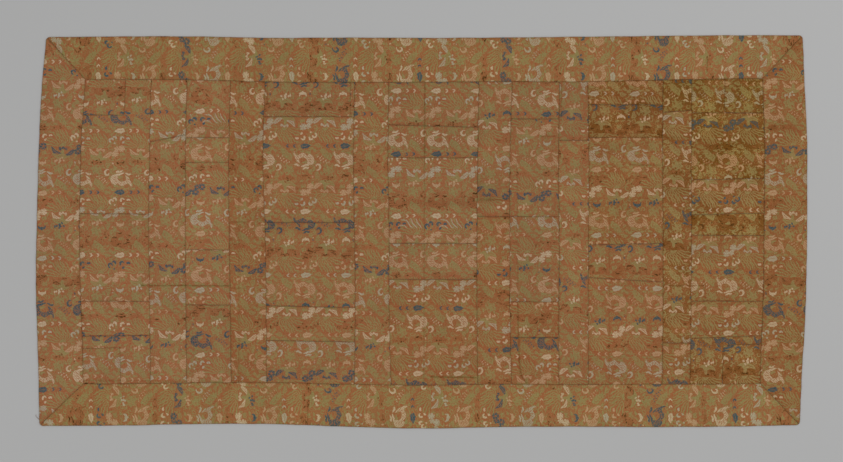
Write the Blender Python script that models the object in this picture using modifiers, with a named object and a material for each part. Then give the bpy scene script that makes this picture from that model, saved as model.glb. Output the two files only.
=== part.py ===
# A patchwork mantle of brocaded silk, spread flat and seen face up.
# Seven pieced columns are joined by six narrow strips, with a mitred border round them
# and a small square in each corner of the field.

import math

import bmesh
import bpy
from mathutils import Vector

# Lengths are in millimetres. X runs to the right and Y up the cloth, both from its middle.
MM = 0.001

# Thickness of each kind of piece, seam allowances included.
THICKNESS = {"border": 2.6, "strip": 2.2, "square": 2.0, "column": 1.7}
UNEVENNESS = 0.35
RIPPLE_ACROSS = 310.0
RIPPLE_UPRIGHT = 190.0
HEM_ROUNDING = 0.45
SEAM_GAP = 0.3
CORNER_RADIUS = 9.0
STEP_ACROSS = 66.0
STEP_UPRIGHT = 42.0

# Where the long lines are measured: from left to right, and from top to bottom.
ACROSS = (-1000, -800, -600, -400, -200, 0, 200, 400, 600, 800, 1000)
UPRIGHT = (500, 375, 250, 125, 0, -125, -250, -375, -500)
SEAM_HEIGHTS = (400, 200, 0, -200, -400)

# Height of each level line at the stations across.
OUTER_LEVEL = {
    "top": (520, 522, 522, 518, 519, 518, 519, 521, 523, 525, 525),
    "bottom": (-518, -517, -513, -513, -520, -525, -521, -520, -521, -520, -516),
}
INNER_LEVEL = {
    "top": (407, 408, 406, 401, 400, 400, 402, 401, 405, 409, 411),
    "bottom": (-406, -406, -403, -403, -407, -410, -407, -408, -407, -407, -404),
}

# Place across of each upright line at the upright stations.
OUTER_SIDE = {
    "left": (-1004, -1015, -1021, -1025, -1028, -1030, -1027, -1023, -1021),
    "right": (1019, 1024, 1030, 1030, 1030, 1028, 1024, 1016, 1011),
}
INNER_SIDE = {
    "left": (-897, -900, -909, -912, -914, -912, -908, -904, -903),
    "right": (910, 912, 917, 916, 915, 914, 910, 905, 907),
}

# The two seams of each strip, at the seam heights.
STRIP_SEAMS = {
    1: {"left": (-722, -727, -729, -726, -724), "right": (-627, -631, -631, -630, -628)},
    2: {"left": (-511, -515, -514, -511, -508), "right": (-418, -424, -418, -415, -414)},
    3: {"left": (-178, -182, -179, -177, -179), "right": (-88, -90, -87, -87, -82)},
    4: {"left": (153, 150, 148, 148, 150), "right": (242, 236, 236, 236, 240)},
    5: {"left": (369, 366, 368, 367, 367), "right": (444, 447, 446, 445, 446)},
    6: {"left": (645, 644, 645, 645, 643), "right": (722, 721, 721, 720, 717)},
}

# Cross seams from the top down, as the height at the left end and at the right end.
COLUMN_CUTS = {
    1: ((49, 48), (-185, -185), (-279, -276)),
    2: ((252, 252), (186, 186), (-48, -48), (-195, -195)),
    3: ((308, 308), (25, 25), (-197, -203), (-290, -294)),
    4: ((286, 280), (198, 198), (-31, -31), (-127, -127)),
    5: ((302, 302), (41, 41), (-187, -187), (-282, -282)),
    6: ((340, 340), (252, 252), (-35, -30), (-122, -134)),
    7: ((318, 318), (139, 143), (45, 51), (-9, -9), (-185, -185), (-285, -277)),
}
STRIP_CUTS = {
    1: ((240, 260),),
    2: (),
    3: (),
    4: ((41, 41),),
    5: ((244, 244),),
    6: ((319, 325), (-297, -297)),
}

# Each corner square: its column, its upright side and its level side.
CORNER_SQUARES = {
    "top_left": {"column": 1, "side": -801, "level": 312},
    "bottom_left": {"column": 1, "side": -804, "level": -311},
    "top_right": {"column": 7, "side": 811, "level": 318},
    "bottom_right": {"column": 7, "side": 804, "level": -306},
}

# Silk colours: border, strips and columns from left to right.
BORDER_COLOUR = (0.342, 0.139, 0.046)
STRIP_COLOUR = (0.296, 0.117, 0.038)
SQUARE_COLOUR = (0.305, 0.122, 0.041)
COLUMN_COLOURS = {
    1: (0.318, 0.128, 0.044),
    2: (0.312, 0.124, 0.042),
    3: (0.309, 0.121, 0.040),
    4: (0.305, 0.118, 0.040),
    5: (0.286, 0.108, 0.034),
    6: (0.270, 0.098, 0.028),
    7: (0.252, 0.088, 0.024),
}
SILK_ROUGHNESS = 0.62
SILK_METALLIC = 0.0


def smooth_value(stations, values, at):
    """Value of a line at one place, on a smooth curve through its stations."""
    if stations[0] > stations[-1]:
        stations = stations[::-1]
        values = values[::-1]
    last = len(stations) - 2
    index = 0
    while index < last and at > stations[index + 1]:
        index += 1
    span = stations[index + 1] - stations[index]
    t = (at - stations[index]) / span
    here = values[index]
    there = values[index + 1]
    if t < 0.0 or t > 1.0:
        return here + (there - here) * t
    before = values[index - 1] if index > 0 else 2 * here - there
    after = values[index + 2] if index < last else 2 * there - here
    slope_here = (there - before) / 2
    slope_there = (after - here) / 2
    return (
        here * (2 * t ** 3 - 3 * t ** 2 + 1)
        + slope_here * (t ** 3 - 2 * t ** 2 + t)
        + there * (3 * t ** 2 - 2 * t ** 3)
        + slope_there * (t ** 3 - t ** 2)
    )


def level_line(table, name, x):
    return smooth_value(ACROSS, table[name], x)


def side_line(table, name, y):
    return smooth_value(UPRIGHT, table[name], y)


def seam_line(number, side, y):
    return smooth_value(SEAM_HEIGHTS, STRIP_SEAMS[number][side], y)


def corner_point(level_table, side_table, level, side):
    """Where a level line and an upright line meet."""
    y = level_table[level][0]
    for _ in range(4):
        x = side_line(side_table, side, y)
        y = level_line(level_table, level, x)
    return Vector((x, y))


def even_stops(length, step):
    """Fractions from 0 to 1 at about a given step."""
    count = max(1, round(length / step))
    return [index / count for index in range(count + 1)]


def with_stop(stops, extra):
    """The stops with the nearest inner one moved to a wanted fraction, or that one added."""
    if len(stops) < 3:
        return sorted(stops + [extra])
    nearest = min(stops[1:-1], key=lambda stop: abs(stop - extra))
    if abs(nearest - extra) > 0.5 * (stops[1] - stops[0]):
        return sorted(stops + [extra])
    return sorted([stop for stop in stops if stop != nearest] + [extra])


def mapped_grid(u_stops, v_stops, place, keep=None):
    """A flat grid with each vertex moved to its place, less the cells that aren't kept."""
    bm = bmesh.new()
    columns = len(u_stops) - 1
    rows = len(v_stops) - 1
    bmesh.ops.create_grid(bm, x_segments=columns, y_segments=rows, size=0.5)
    dropped = []
    for face in bm.faces:
        centre = face.calc_center_median()
        u_index = int((centre.x + 0.5) * columns)
        v_index = int((centre.y + 0.5) * rows)
        u = (u_stops[u_index] + u_stops[u_index + 1]) / 2
        v = (v_stops[v_index] + v_stops[v_index + 1]) / 2
        if keep is not None and not keep(u, v):
            dropped.append(face)
    for vert in bm.verts:
        u = u_stops[round((vert.co.x + 0.5) * columns)]
        v = v_stops[round((vert.co.y + 0.5) * rows)]
        x, y = place(u, v)
        vert.co = Vector((x * MM, y * MM, 0.0))
    if dropped:
        bmesh.ops.delete(bm, geom=dropped, context="FACES")
    bm.normal_update()
    if sum(face.normal.z for face in bm.faces) < 0.0:
        bmesh.ops.reverse_faces(bm, faces=bm.faces[:])
    return bm


def pull_in(bm, distance):
    """Draw the open edge of a flat sheet in, which leaves the seam's gap beside it."""
    moves = []
    for vert in bm.verts:
        rims = [edge for edge in vert.link_edges if edge.is_boundary]
        if len(rims) != 2:
            continue
        inward = []
        for edge in rims:
            face = edge.link_faces[0]
            along = (edge.other_vert(vert).co - vert.co).normalized()
            across = Vector((-along.y, along.x, 0.0))
            if across.dot(face.calc_center_median() - vert.co) < 0.0:
                across.negate()
            inward.append(across)
        both = inward[0] + inward[1]
        moves.append((vert, both * (distance / (1.0 + inward[0].dot(inward[1])))))
    for vert, move in moves:
        vert.co += move


def silk(name, colour):
    """The piece's own silk."""
    material = bpy.data.materials.new(name + "_silk")
    material.use_nodes = True
    shader = material.node_tree.nodes["Principled BSDF"]
    shader.inputs["Base Color"].default_value = (*colour, 1.0)
    shader.inputs["Roughness"].default_value = SILK_ROUGHNESS
    shader.inputs["Metallic"].default_value = SILK_METALLIC
    material.diffuse_color = (*colour, 1.0)
    return material


def fullness(x, y):
    """How full the cloth lies at a place, from 0 to 1."""
    wave = math.sin(2 * math.pi * x / RIPPLE_ACROSS + 0.9 * math.sin(y / RIPPLE_UPRIGHT))
    cross = math.sin(2 * math.pi * y / RIPPLE_UPRIGHT + 0.7 * math.sin(x / RIPPLE_ACROSS))
    return 0.5 + 0.25 * wave + 0.25 * cross


def finish_piece(name, kind, bm, colour, home):
    """Give a flat sheet its thickness and its rounded hems."""
    pull_in(bm, SEAM_GAP / 2 * MM)
    mesh = bpy.data.meshes.new(name)
    bm.to_mesh(mesh)
    bm.free()
    piece = bpy.data.objects.new(name, mesh)
    home.objects.link(piece)
    piece.data.materials.append(silk(name, colour))
    loft = piece.vertex_groups.new(name="fullness")
    for vert in mesh.vertices:
        loft.add([vert.index], fullness(vert.co.x / MM, vert.co.y / MM), "REPLACE")
    thickness = THICKNESS[kind]
    body = piece.modifiers.new("body", "SOLIDIFY")
    body.thickness = thickness * MM
    body.offset = 1.0
    body.vertex_group = loft.name
    body.thickness_vertex_group = 1.0 - UNEVENNESS / thickness
    hem = piece.modifiers.new("hem", "BEVEL")
    hem.width = HEM_ROUNDING * MM
    hem.segments = 1
    hem.limit_method = "ANGLE"
    hem.angle_limit = math.radians(60)
    return piece


def border_stops(length, step):
    """Even stops along a border, with the turn of each rounded corner."""
    start = CORNER_RADIUS * (1 - math.sqrt(0.5))
    turn = [0.5 * CORNER_RADIUS - start, CORNER_RADIUS - start]
    stops = even_stops(length, step)
    stops += [step / length for step in turn]
    stops += [1.0 - step / length for step in turn]
    return sorted(stops)


def border_piece(name, side, home):
    """One border strip, mitred at both ends."""
    level = side in ("top", "bottom")
    ends = ("left", "right") if level else ("bottom", "top")
    outer = []
    inner = []
    for end in ends:
        names = (side, end) if level else (end, side)
        outer.append(corner_point(OUTER_LEVEL, OUTER_SIDE, *names))
        inner.append(corner_point(INNER_LEVEL, INNER_SIDE, *names))
    axis = 0 if level else 1
    turn = CORNER_RADIUS * (1 - math.sqrt(0.5))
    first = outer[0][axis] + turn
    last = outer[1][axis] - turn
    inward = -1.0 if side in ("top", "right") else 1.0

    def outer_point(u):
        along = first + (last - first) * u
        reach = min(along - outer[0][axis], outer[1][axis] - along)
        drop = 0.0
        if reach < CORNER_RADIUS:
            drop = CORNER_RADIUS - math.sqrt(CORNER_RADIUS ** 2 - (CORNER_RADIUS - reach) ** 2)
        if level:
            return Vector((along, level_line(OUTER_LEVEL, side, along) + inward * drop))
        return Vector((side_line(OUTER_SIDE, side, along) + inward * drop, along))

    def inner_point(u):
        along = inner[0][axis] + (inner[1][axis] - inner[0][axis]) * u
        if level:
            return Vector((along, level_line(INNER_LEVEL, side, along)))
        return Vector((side_line(INNER_SIDE, side, along), along))

    def place(u, v):
        return outer_point(u).lerp(inner_point(u), v)

    step = STEP_ACROSS if level else STEP_UPRIGHT
    bm = mapped_grid(border_stops(last - first, step), [0.0, 0.5, 1.0], place)
    return finish_piece(name, "border", bm, BORDER_COLOUR, home)


def field_place(left, right, top, bottom):
    """Places in a part of the field between two upright seams and two level lines."""

    def height(line, u):
        y = line(0.0)
        for _ in range(3):
            y = line(left(y) + (right(y) - left(y)) * u)
        return y

    def place(u, v):
        low = height(bottom, u)
        high = height(top, u)
        y = low + (high - low) * v
        return left(y) + (right(y) - left(y)) * u, y

    return place


def straight_cut(heights, left, right):
    """A cross seam that runs straight between its two ends."""
    x_left = left(heights[0])
    x_right = right(heights[1])

    def line(x):
        return heights[0] + (heights[1] - heights[0]) * (x - x_left) / (x_right - x_left)

    return line


def upright_run(prefix, kind, colour, left, right, cuts, squares, home):
    """All the pieces of one column or strip, from the top down."""
    lines = [lambda x: level_line(INNER_LEVEL, "top", x)]
    lines += [straight_cut(cut, left, right) for cut in cuts]
    lines.append(lambda x: level_line(INNER_LEVEL, "bottom", x))
    for index in range(len(lines) - 1):
        place = field_place(left, right, lines[index], lines[index + 1])
        corner = place(0.0, 0.0)
        width = place(1.0, 0.0)[0] - corner[0]
        height = place(0.0, 1.0)[1] - corner[1]
        u_stops = even_stops(width, STEP_ACROSS)
        v_stops = even_stops(height, STEP_UPRIGHT)
        inside = [item for item in squares if index == (0 if item["top"] else len(lines) - 2)]
        keep = None
        if inside:
            square = inside[0]
            u_edge = (square["side"] - corner[0]) / width
            v_edge = (square["level"] - corner[1]) / height
            u_stops = with_stop(u_stops, u_edge)
            if 0.0 < v_edge < 1.0:
                v_stops = with_stop(v_stops, v_edge)

            def in_square(u, v):
                beside = u < u_edge if square["left"] else u > u_edge
                level = v > v_edge if square["top"] else v < v_edge
                return beside and level

            def keep(u, v):
                return not in_square(u, v)

            patch = mapped_grid(u_stops, v_stops, place, in_square)
            finish_piece("square_" + square["name"], "square", patch, SQUARE_COLOUR, home)
        name = prefix
        if len(lines) > 2:
            name += "_" + "abcdefgh"[index]
        finish_piece(name, kind, mapped_grid(u_stops, v_stops, place, keep), colour, home)


def column_sides(number):
    """The upright lines on the two sides of a column."""
    if number == 1:
        left = lambda y: side_line(INNER_SIDE, "left", y)
    else:
        left = lambda y: seam_line(number - 1, "right", y)
    if number == 7:
        right = lambda y: side_line(INNER_SIDE, "right", y)
    else:
        right = lambda y: seam_line(number, "left", y)
    return left, right


def column_squares(number):
    """The corner squares that lie in a column."""
    found = []
    for name, square in CORNER_SQUARES.items():
        if square["column"] == number:
            entry = dict(square, name=name, top="top" in name, left="left" in name)
            found.append(entry)
    return found


for old in list(bpy.data.objects):
    bpy.data.objects.remove(old, do_unlink=True)

mantle = bpy.data.collections.new("patchwork_mantle")
bpy.context.scene.collection.children.link(mantle)

for border_side in ("top", "bottom", "left", "right"):
    border_piece("border_" + border_side, border_side, mantle)

for strip in STRIP_SEAMS:
    strip_left = lambda y, strip=strip: seam_line(strip, "left", y)
    strip_right = lambda y, strip=strip: seam_line(strip, "right", y)
    upright_run(
        "strip_" + str(strip), "strip", STRIP_COLOUR,
        strip_left, strip_right, STRIP_CUTS[strip], [], mantle,
    )

for column in COLUMN_CUTS:
    column_left, column_right = column_sides(column)
    upright_run(
        "column_" + str(column), "column", COLUMN_COLOURS[column],
        column_left, column_right, COLUMN_CUTS[column], column_squares(column), mantle,
    )
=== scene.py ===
import math

import bpy
import numpy as np
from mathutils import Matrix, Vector
from mathutils.geometry import delaunay_2d_cdt


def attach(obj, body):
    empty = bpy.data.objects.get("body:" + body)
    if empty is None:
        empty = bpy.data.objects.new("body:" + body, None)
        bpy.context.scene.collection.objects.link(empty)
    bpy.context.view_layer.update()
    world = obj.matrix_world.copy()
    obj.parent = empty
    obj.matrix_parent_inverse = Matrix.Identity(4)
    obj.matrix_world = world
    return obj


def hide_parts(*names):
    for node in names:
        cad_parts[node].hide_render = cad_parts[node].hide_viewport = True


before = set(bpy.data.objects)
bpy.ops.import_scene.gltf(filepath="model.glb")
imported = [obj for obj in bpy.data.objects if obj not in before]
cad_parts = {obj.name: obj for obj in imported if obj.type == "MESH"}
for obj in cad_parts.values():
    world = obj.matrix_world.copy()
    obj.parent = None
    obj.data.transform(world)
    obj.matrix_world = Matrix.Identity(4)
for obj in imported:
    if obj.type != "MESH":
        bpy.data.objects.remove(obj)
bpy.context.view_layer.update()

mm = 0.001


def addObject(name, data):
    made = bpy.data.objects.new(name, data)
    bpy.context.scene.collection.objects.link(made)
    return made


# camera, floor and light

view = {
    "acrossFrame": 2.2525,    # metres of floor across the frame
    "lens": 85.0,
    "sensor": 36.0,
    "farthest": 30.0,
    "above": 0.0025,          # the frame's middle lies a little above the mantle's
}
cameraData = bpy.data.cameras.new("camera")
cameraData.lens = view["lens"]
cameraData.sensor_width = view["sensor"]
cameraData.clip_end = view["farthest"]
camera = addObject("camera", cameraData)
camera.location = (0.0, view["above"], view["acrossFrame"] * view["lens"] / view["sensor"])
bpy.context.scene.camera = camera

room = {
    "floorSize": 30.0,
    "floorDrop": 0.0004,      # metres under the mantle
    "floorRoughness": 0.9,
    "floorGloss": 0.1,
    "floorColour": (0.506, 0.506, 0.503),
    "skyStrength": 0.52,
    "skyColour": (1.0, 1.0, 1.0),
    "lampEnergy": 66.0,
    "lampSize": 3.2,
    "lampPlace": (3.0, 1.6, 3.6),
    "fillEnergy": 34.0,
    "fillPlace": (-2.4, -1.8, 4.0),
}
floorMesh = bpy.data.meshes.new("floor")
half = room["floorSize"] / 2
corners = [(-half, -half, 0), (half, -half, 0), (half, half, 0), (-half, half, 0)]
floorMesh.from_pydata(corners, [], [(0, 1, 2, 3)])
floor = addObject("floor", floorMesh)
floor.location.z = -room["floorDrop"]
floorPaint = bpy.data.materials.new("paleFloor")
floorPaint.use_nodes = True
floorShader = floorPaint.node_tree.nodes["Principled BSDF"]
floorShader.inputs["Base Color"].default_value = (*room["floorColour"], 1)
floorShader.inputs["Roughness"].default_value = room["floorRoughness"]
floorShader.inputs["Specular IOR Level"].default_value = room["floorGloss"]
floorMesh.materials.append(floorPaint)

world = bpy.data.worlds.new("softSky")
world.use_nodes = True
sky = world.node_tree.nodes["Background"]
sky.inputs["Color"].default_value = (*room["skyColour"], 1)
sky.inputs["Strength"].default_value = room["skyStrength"]
bpy.context.scene.world = world
bpy.context.scene.view_settings.view_transform = "Standard"


def addLamp(name, place, energy):
    lampData = bpy.data.lights.new(name, "AREA")
    lampData.energy = energy
    lampData.size = room["lampSize"]
    lamp = addObject(name, lampData)
    lamp.location = place
    lamp.rotation_euler = Vector(place).to_track_quat("Z", "Y").to_euler()


addLamp("keyLamp", room["lampPlace"], room["lampEnergy"])
addLamp("fillLamp", room["fillPlace"], room["fillEnergy"])
print("camera, floor and light are set")


# the weaver's chart: one repeat of phoenix, peony and clouds
# u runs across the repeat and v down it, in steps of the chart, from the bud's middle

chart = {
    "step": 0.107 / 40,       # metres of cloth to one step
    "width": 40.0,
    "length": 65.5,
    "fanWave": 0.42,
    "rayWidth": 1.3,
}

# the colour of each figure in the six repeats that follow one another down the cloth
threadOrder = {
    "bud": ("cream", "perished", "salmon", "white", "cream", "blue"),
    "tendril": ("blue", "cream", "perished", "salmon", "white", "cream"),
    "peony": ("salmon", "blue", "cream", "perished", "salmon", "white"),
    "spray": ("white", "salmon", "blue", "cream", "perished", "salmon"),
    "ring": ("salmon", "white", "salmon", "blue", "cream", "perished"),
}
# figures that are woven with the same bobbin as a row above
sameBobbin = {"wing": "peony", "plume": "ring", "berry": "ring"}
lowerRows = ("spray", "ring")
# how much of the ground shows through each figure
openness = {
    "bud": 0.10, "tendril": 0.06, "peony": 0.16, "wing": 0.28, "spray": 0.12, "ring": 0.10, "plume": 0.32,
    "berry": 0.36, "olive": 0.08, "ray": 0.0, "tip": 0.34, "quiet": 0.7, "eye": 0.5,
}
# figures in the ground's own yarns
groundRows = {"quiet": "ground", "eye": "ground", "ray": "olive", "tip": "white"}


def smoothPath(points, closed, cuts):
    count = len(points)
    spans = count if closed else count - 1
    path = []
    for i in range(spans):
        near = [(i + k - 1) % count if closed else min(max(i + k - 1, 0), count - 1) for k in range(4)]
        a, b, c, d = (points[k] for k in near)
        for k in range(cuts):
            t = k / cuts
            path.append(tuple(
                0.5 * (2 * b[j] + (c[j] - a[j]) * t + (2 * a[j] - 5 * b[j] + 4 * c[j] - d[j]) * t * t
                       + (3 * b[j] - a[j] - 3 * c[j] + d[j]) * t * t * t)
                for j in range(2)
            ))
    if not closed:
        path.append(tuple(points[-1]))
    return path


def blobShape(points, cuts=2):
    return smoothPath(points, True, cuts)


def heading(path, i):
    # which way the path runs at one of its points
    ahead = path[min(i + 1, len(path) - 1)]
    behind = path[max(i - 1, 0)]
    along = math.hypot(ahead[0] - behind[0], ahead[1] - behind[1])
    return (ahead[0] - behind[0]) / along, (ahead[1] - behind[1]) / along


def ribbonShape(points, widths, cuts=3):
    path = smoothPath(points, False, cuts)
    left = []
    right = []
    for i, (x, y) in enumerate(path):
        across, down = heading(path, i)
        place = i / (len(path) - 1) * (len(widths) - 1)
        near = min(int(place), len(widths) - 2)
        half = 0.5 * (widths[near] + (widths[near + 1] - widths[near]) * (place - near))
        left.append((x - down * half, y + across * half))
        right.append((x + down * half, y - across * half))
    return left + right[::-1]


def turnedPlace(u, v, along, across, turn):
    # a point of a figure that is turned about its middle, by degrees
    turned = math.radians(turn)
    return (u + along * math.cos(turned) - across * math.sin(turned),
            v + along * math.sin(turned) + across * math.cos(turned))


def leafShape(u, v, length, width, turn, bend=0.15):
    edge = []
    for side in (1, -1):
        for k in range(5):
            t = k / 5 if side > 0 else 1 - k / 5
            swell = math.sin(math.pi * t)
            across = side * 0.5 * width * swell ** 0.85 + bend * length * swell
            edge.append(turnedPlace(u, v, (t - 0.5) * length, across, turn))
    return edge


def curlShape(u, v, radius, start, sweep, width):
    line = []
    for k in range(6):
        t = k / 5
        angle = math.radians(start + sweep * t)
        reach = radius * (1 - 0.45 * t)
        line.append((u + reach * math.cos(angle), v + reach * math.sin(angle)))
    return ribbonShape(line, (0.35 * width, width, width, 0.8 * width), 2)


def scallopShape(u, v, radius, petals, turn, squash=1.0, depth=0.2):
    edge = []
    for k in range(petals * 3):
        angle = math.radians(turn) + 2 * math.pi * k / (petals * 3)
        reach = radius * (1 - depth + depth * abs(math.sin(petals * (angle - math.radians(turn)) / 2)) ** 0.6)
        edge.append((u + reach * math.cos(angle), v + reach * squash * math.sin(angle)))
    return edge


def cloudShape(u, v, size, turn, stretch=1.5):
    edge = []
    for k in range(15):
        angle = 2 * math.pi * k / 15
        lobes = 1 + 0.2 * math.cos(3 * angle + 0.6) + 0.12 * math.cos(5 * angle + turn)
        along = stretch * 0.5 * size * lobes * math.cos(angle)
        across = 0.5 * size * lobes * math.sin(angle)
        edge.append(turnedPlace(u, v, along, across, turn))
    return edge


# olive clouds: place, size, turn in degrees and stretch
clouds = (
    (27.2, 0.4, 4.2, 8, 1.6), (-7.4, -2.2, 2.2, 30, 1.5), (-8.2, 5.8, 1.9, 0, 1.3),
    (16.8, 55.0, 6.4, 24, 1.35), (20.8, 59.0, 6.2, 58, 1.3), (14.4, 40.8, 3.8, 20, 1.6),
    (-3.4, 58.8, 3.0, 8, 2.3), (27.8, 36.6, 4.6, 100, 1.5), (34.4, -3.0, 2.4, 70, 1.6),
    (-5.8, 40.4, 2.1, 0, 1.8), (8.9, 50.2, 1.5, 60, 1.7), (30.0, 61.0, 3.0, 38, 1.5),
    (5.2, 62.2, 2.2, -10, 2.0), (34.2, 51.0, 2.4, 84, 1.9), (17.4, 36.8, 1.7, 4, 2.0),
    (27.6, 7.0, 1.9, 30, 1.6), (33.0, 28.4, 2.3, 130, 1.7), (4.0, 30.4, 2.3, -24, 1.9),
    (13.0, 61.6, 2.0, 0, 1.5), (29.6, 50.2, 2.2, 60, 1.5), (20.6, 42.0, 2.2, 80, 1.8),
    (9.6, 35.4, 2.1, 40, 1.5), (3.6, 24.6, 2.3, 70, 1.7), (25.4, 44.0, 1.4, 10, 1.6),
    (35.6, 9.4, 2.1, 96, 1.6), (22.8, -4.0, 2.3, -12, 1.9), (12.8, -3.8, 2.2, 14, 2.0),
    (2.6, -5.4, 2.1, -10, 1.9), (1.8, 25.4, 3.6, 10, 1.3),
)
# olive leaves: place, length, width and turn
leaves = (
    (24.2, 38.2, 5.0, 1.9, 64), (31.4, 42.6, 6.2, 1.9, 118), (8.8, 2.9, 4.4, 1.3, 16),
    (-1.8, 30.4, 5.0, 1.6, -30), (35.4, 38.4, 4.8, 1.6, 40), (13.4, 36.4, 4.6, 1.5, 70),
    (6.2, 21.0, 4.8, 1.6, 100), (-7.4, 31.0, 4.4, 1.4, 14), (36.6, 57.4, 5.4, 1.7, 62),
    (27.4, 56.0, 4.6, 1.5, -40), (-3.2, 4.4, 5.0, 1.2, 8), (17.4, 44.2, 4.8, 1.6, 30),
    (31.2, 3.4, 4.6, 1.4, -24), (35.4, 22.0, 4.6, 1.5, 66), (12.6, 57.6, 4.6, 1.4, 86),
    (30.6, 47.4, 4.6, 1.3, 20), (-8.8, 12.6, 4.4, 1.3, 60), (33.4, 12.4, 4.2, 1.3, -50),
    (16.6, -1.2, 4.2, 1.2, 10), (-8.2, 44.6, 4.6, 1.4, 110), (8.6, 56.4, 3.8, 1.3, 60),
    (24.2, 48.0, 3.4, 1.2, -20), (3.6, 34.4, 3.6, 1.2, 70), (-5.0, 61.6, 4.2, 1.3, -10),
)
# olive tendrils that curl: place, radius, start, sweep and width
curls = (
    (6.0, 39.2, 2.3, 120, 330, 1.0), (30.2, 18.2, 2.5, 20, 300, 1.1), (16.4, 47.4, 2.7, 200, 280, 1.0),
    (-2.4, 46.0, 6.6, 190, 110, 1.0), (27.8, 31.0, 2.3, 300, 280, 0.9), (33.8, 46.2, 2.1, 60, 300, 0.9),
    (22.0, -1.4, 2.0, 180, 280, 0.9), (5.8, -0.4, 1.7, 250, 240, 0.8), (35.2, 3.4, 2.5, 150, 270, 1.0),
    (10.8, 31.8, 2.2, 90, 290, 0.9), (25.4, 60.0, 2.3, 10, 280, 1.0), (32.4, 55.2, 2.3, 220, 260, 1.0),
    (11.2, 44.8, 2.2, 330, 260, 0.9), (-5.6, 2.2, 2.2, 200, 150, 0.8), (2.0, 3.9, 2.0, 30, 200, 0.8),
    (34.8, 17.0, 2.2, 260, 280, 0.9), (20.8, 46.6, 2.0, 100, 260, 0.9), (9.8, 61.0, 2.2, 30, 260, 0.9),
    (30.4, 24.4, 2.0, 200, 250, 0.9), (20.4, 38.0, 2.0, 300, 260, 0.9), (-4.8, 36.2, 3.6, 60, 110, 0.9),
    (1.2, 39.6, 2.4, 190, 170, 0.9), (-0.6, 62.6, 2.2, 190, 160, 0.8), (28.4, 12.0, 2.2, 280, 220, 0.9),
)
# the ring, a curled feather, from its root round the outside to its tip and back inside
feather = (
    (-4.2, 46.2), (-7.4, 46.8), (-9.2, 49.0), (-9.5, 52.2), (-8.2, 55.4), (-5.8, 57.0), (-3.6, 57.2),
    (-2.8, 55.8), (0.0, 57.8), (2.6, 58.8), (5.2, 57.4), (7.6, 56.2), (9.2, 56.4), (10.0, 58.4),
    (11.2, 60.3), (11.7, 57.6), (10.6, 54.2), (9.2, 51.0), (7.4, 48.8), (5.0, 47.2), (6.0, 50.0),
    (6.1, 52.0), (4.9, 53.5), (2.6, 54.1), (0.2, 53.6), (-1.8, 52.0), (-2.5, 49.8), (-2.2, 47.6),
)


# the phoenix's tail, ray by ray from the lowest on the left, each from its root to its tip
tailRays = (
    ((16.0, 18.4), (10.8, 17.4), (5.6, 16.6), (0.0, 16.4)),
    ((16.6, 17.2), (11.6, 15.2), (6.6, 13.4), (2.0, 12.6)),
    ((17.6, 16.2), (13.4, 13.6), (9.6, 11.4), (4.6, 10.2)),
    ((19.0, 15.6), (15.6, 12.2), (12.6, 8.2), (10.2, 4.8), (5.2, 3.9)),
    ((20.4, 15.4), (18.2, 11.8), (15.2, 7.8), (12.4, 2.6)),
    ((21.6, 15.6), (21.0, 12.4), (18.4, 9.6), (16.2, 6.6), (14.6, 2.0)),
    ((22.6, 15.8), (23.4, 12.8), (20.6, 8.8), (18.0, 4.2), (17.2, 1.6)),
    ((23.4, 16.2), (25.4, 12.2), (23.6, 9.4), (21.4, 6.6), (19.8, 2.6)),
    ((24.2, 17.0), (27.4, 13.4), (26.8, 9.6), (24.6, 6.0), (23.2, 3.0)),
    ((24.8, 18.2), (29.2, 15.6), (30.0, 12.0), (28.6, 8.6)),
)
# white brocading over the tips of the tail, which only a few of the pieces have
whiteTips = (
    ((3.8, 3.6), (8.2, 3.8), (11.0, 5.4), (13.0, 8.4), (14.6, 10.8), (17.2, 12.0)),
    ((14.2, 2.2), (15.4, 5.0), (17.0, 8.2), (19.4, 10.4), (21.0, 12.4)),
    ((19.8, 2.6), (20.6, 5.4), (22.2, 8.0), (24.0, 9.8), (25.2, 12.0)),
    ((30.2, 2.6), (31.0, 4.6), (32.0, 6.4), (31.4, 8.2)),
    ((2.0, 11.4), (3.6, 9.8), (6.4, 9.6), (8.8, 10.2), (10.4, 12.2)),
)


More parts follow.
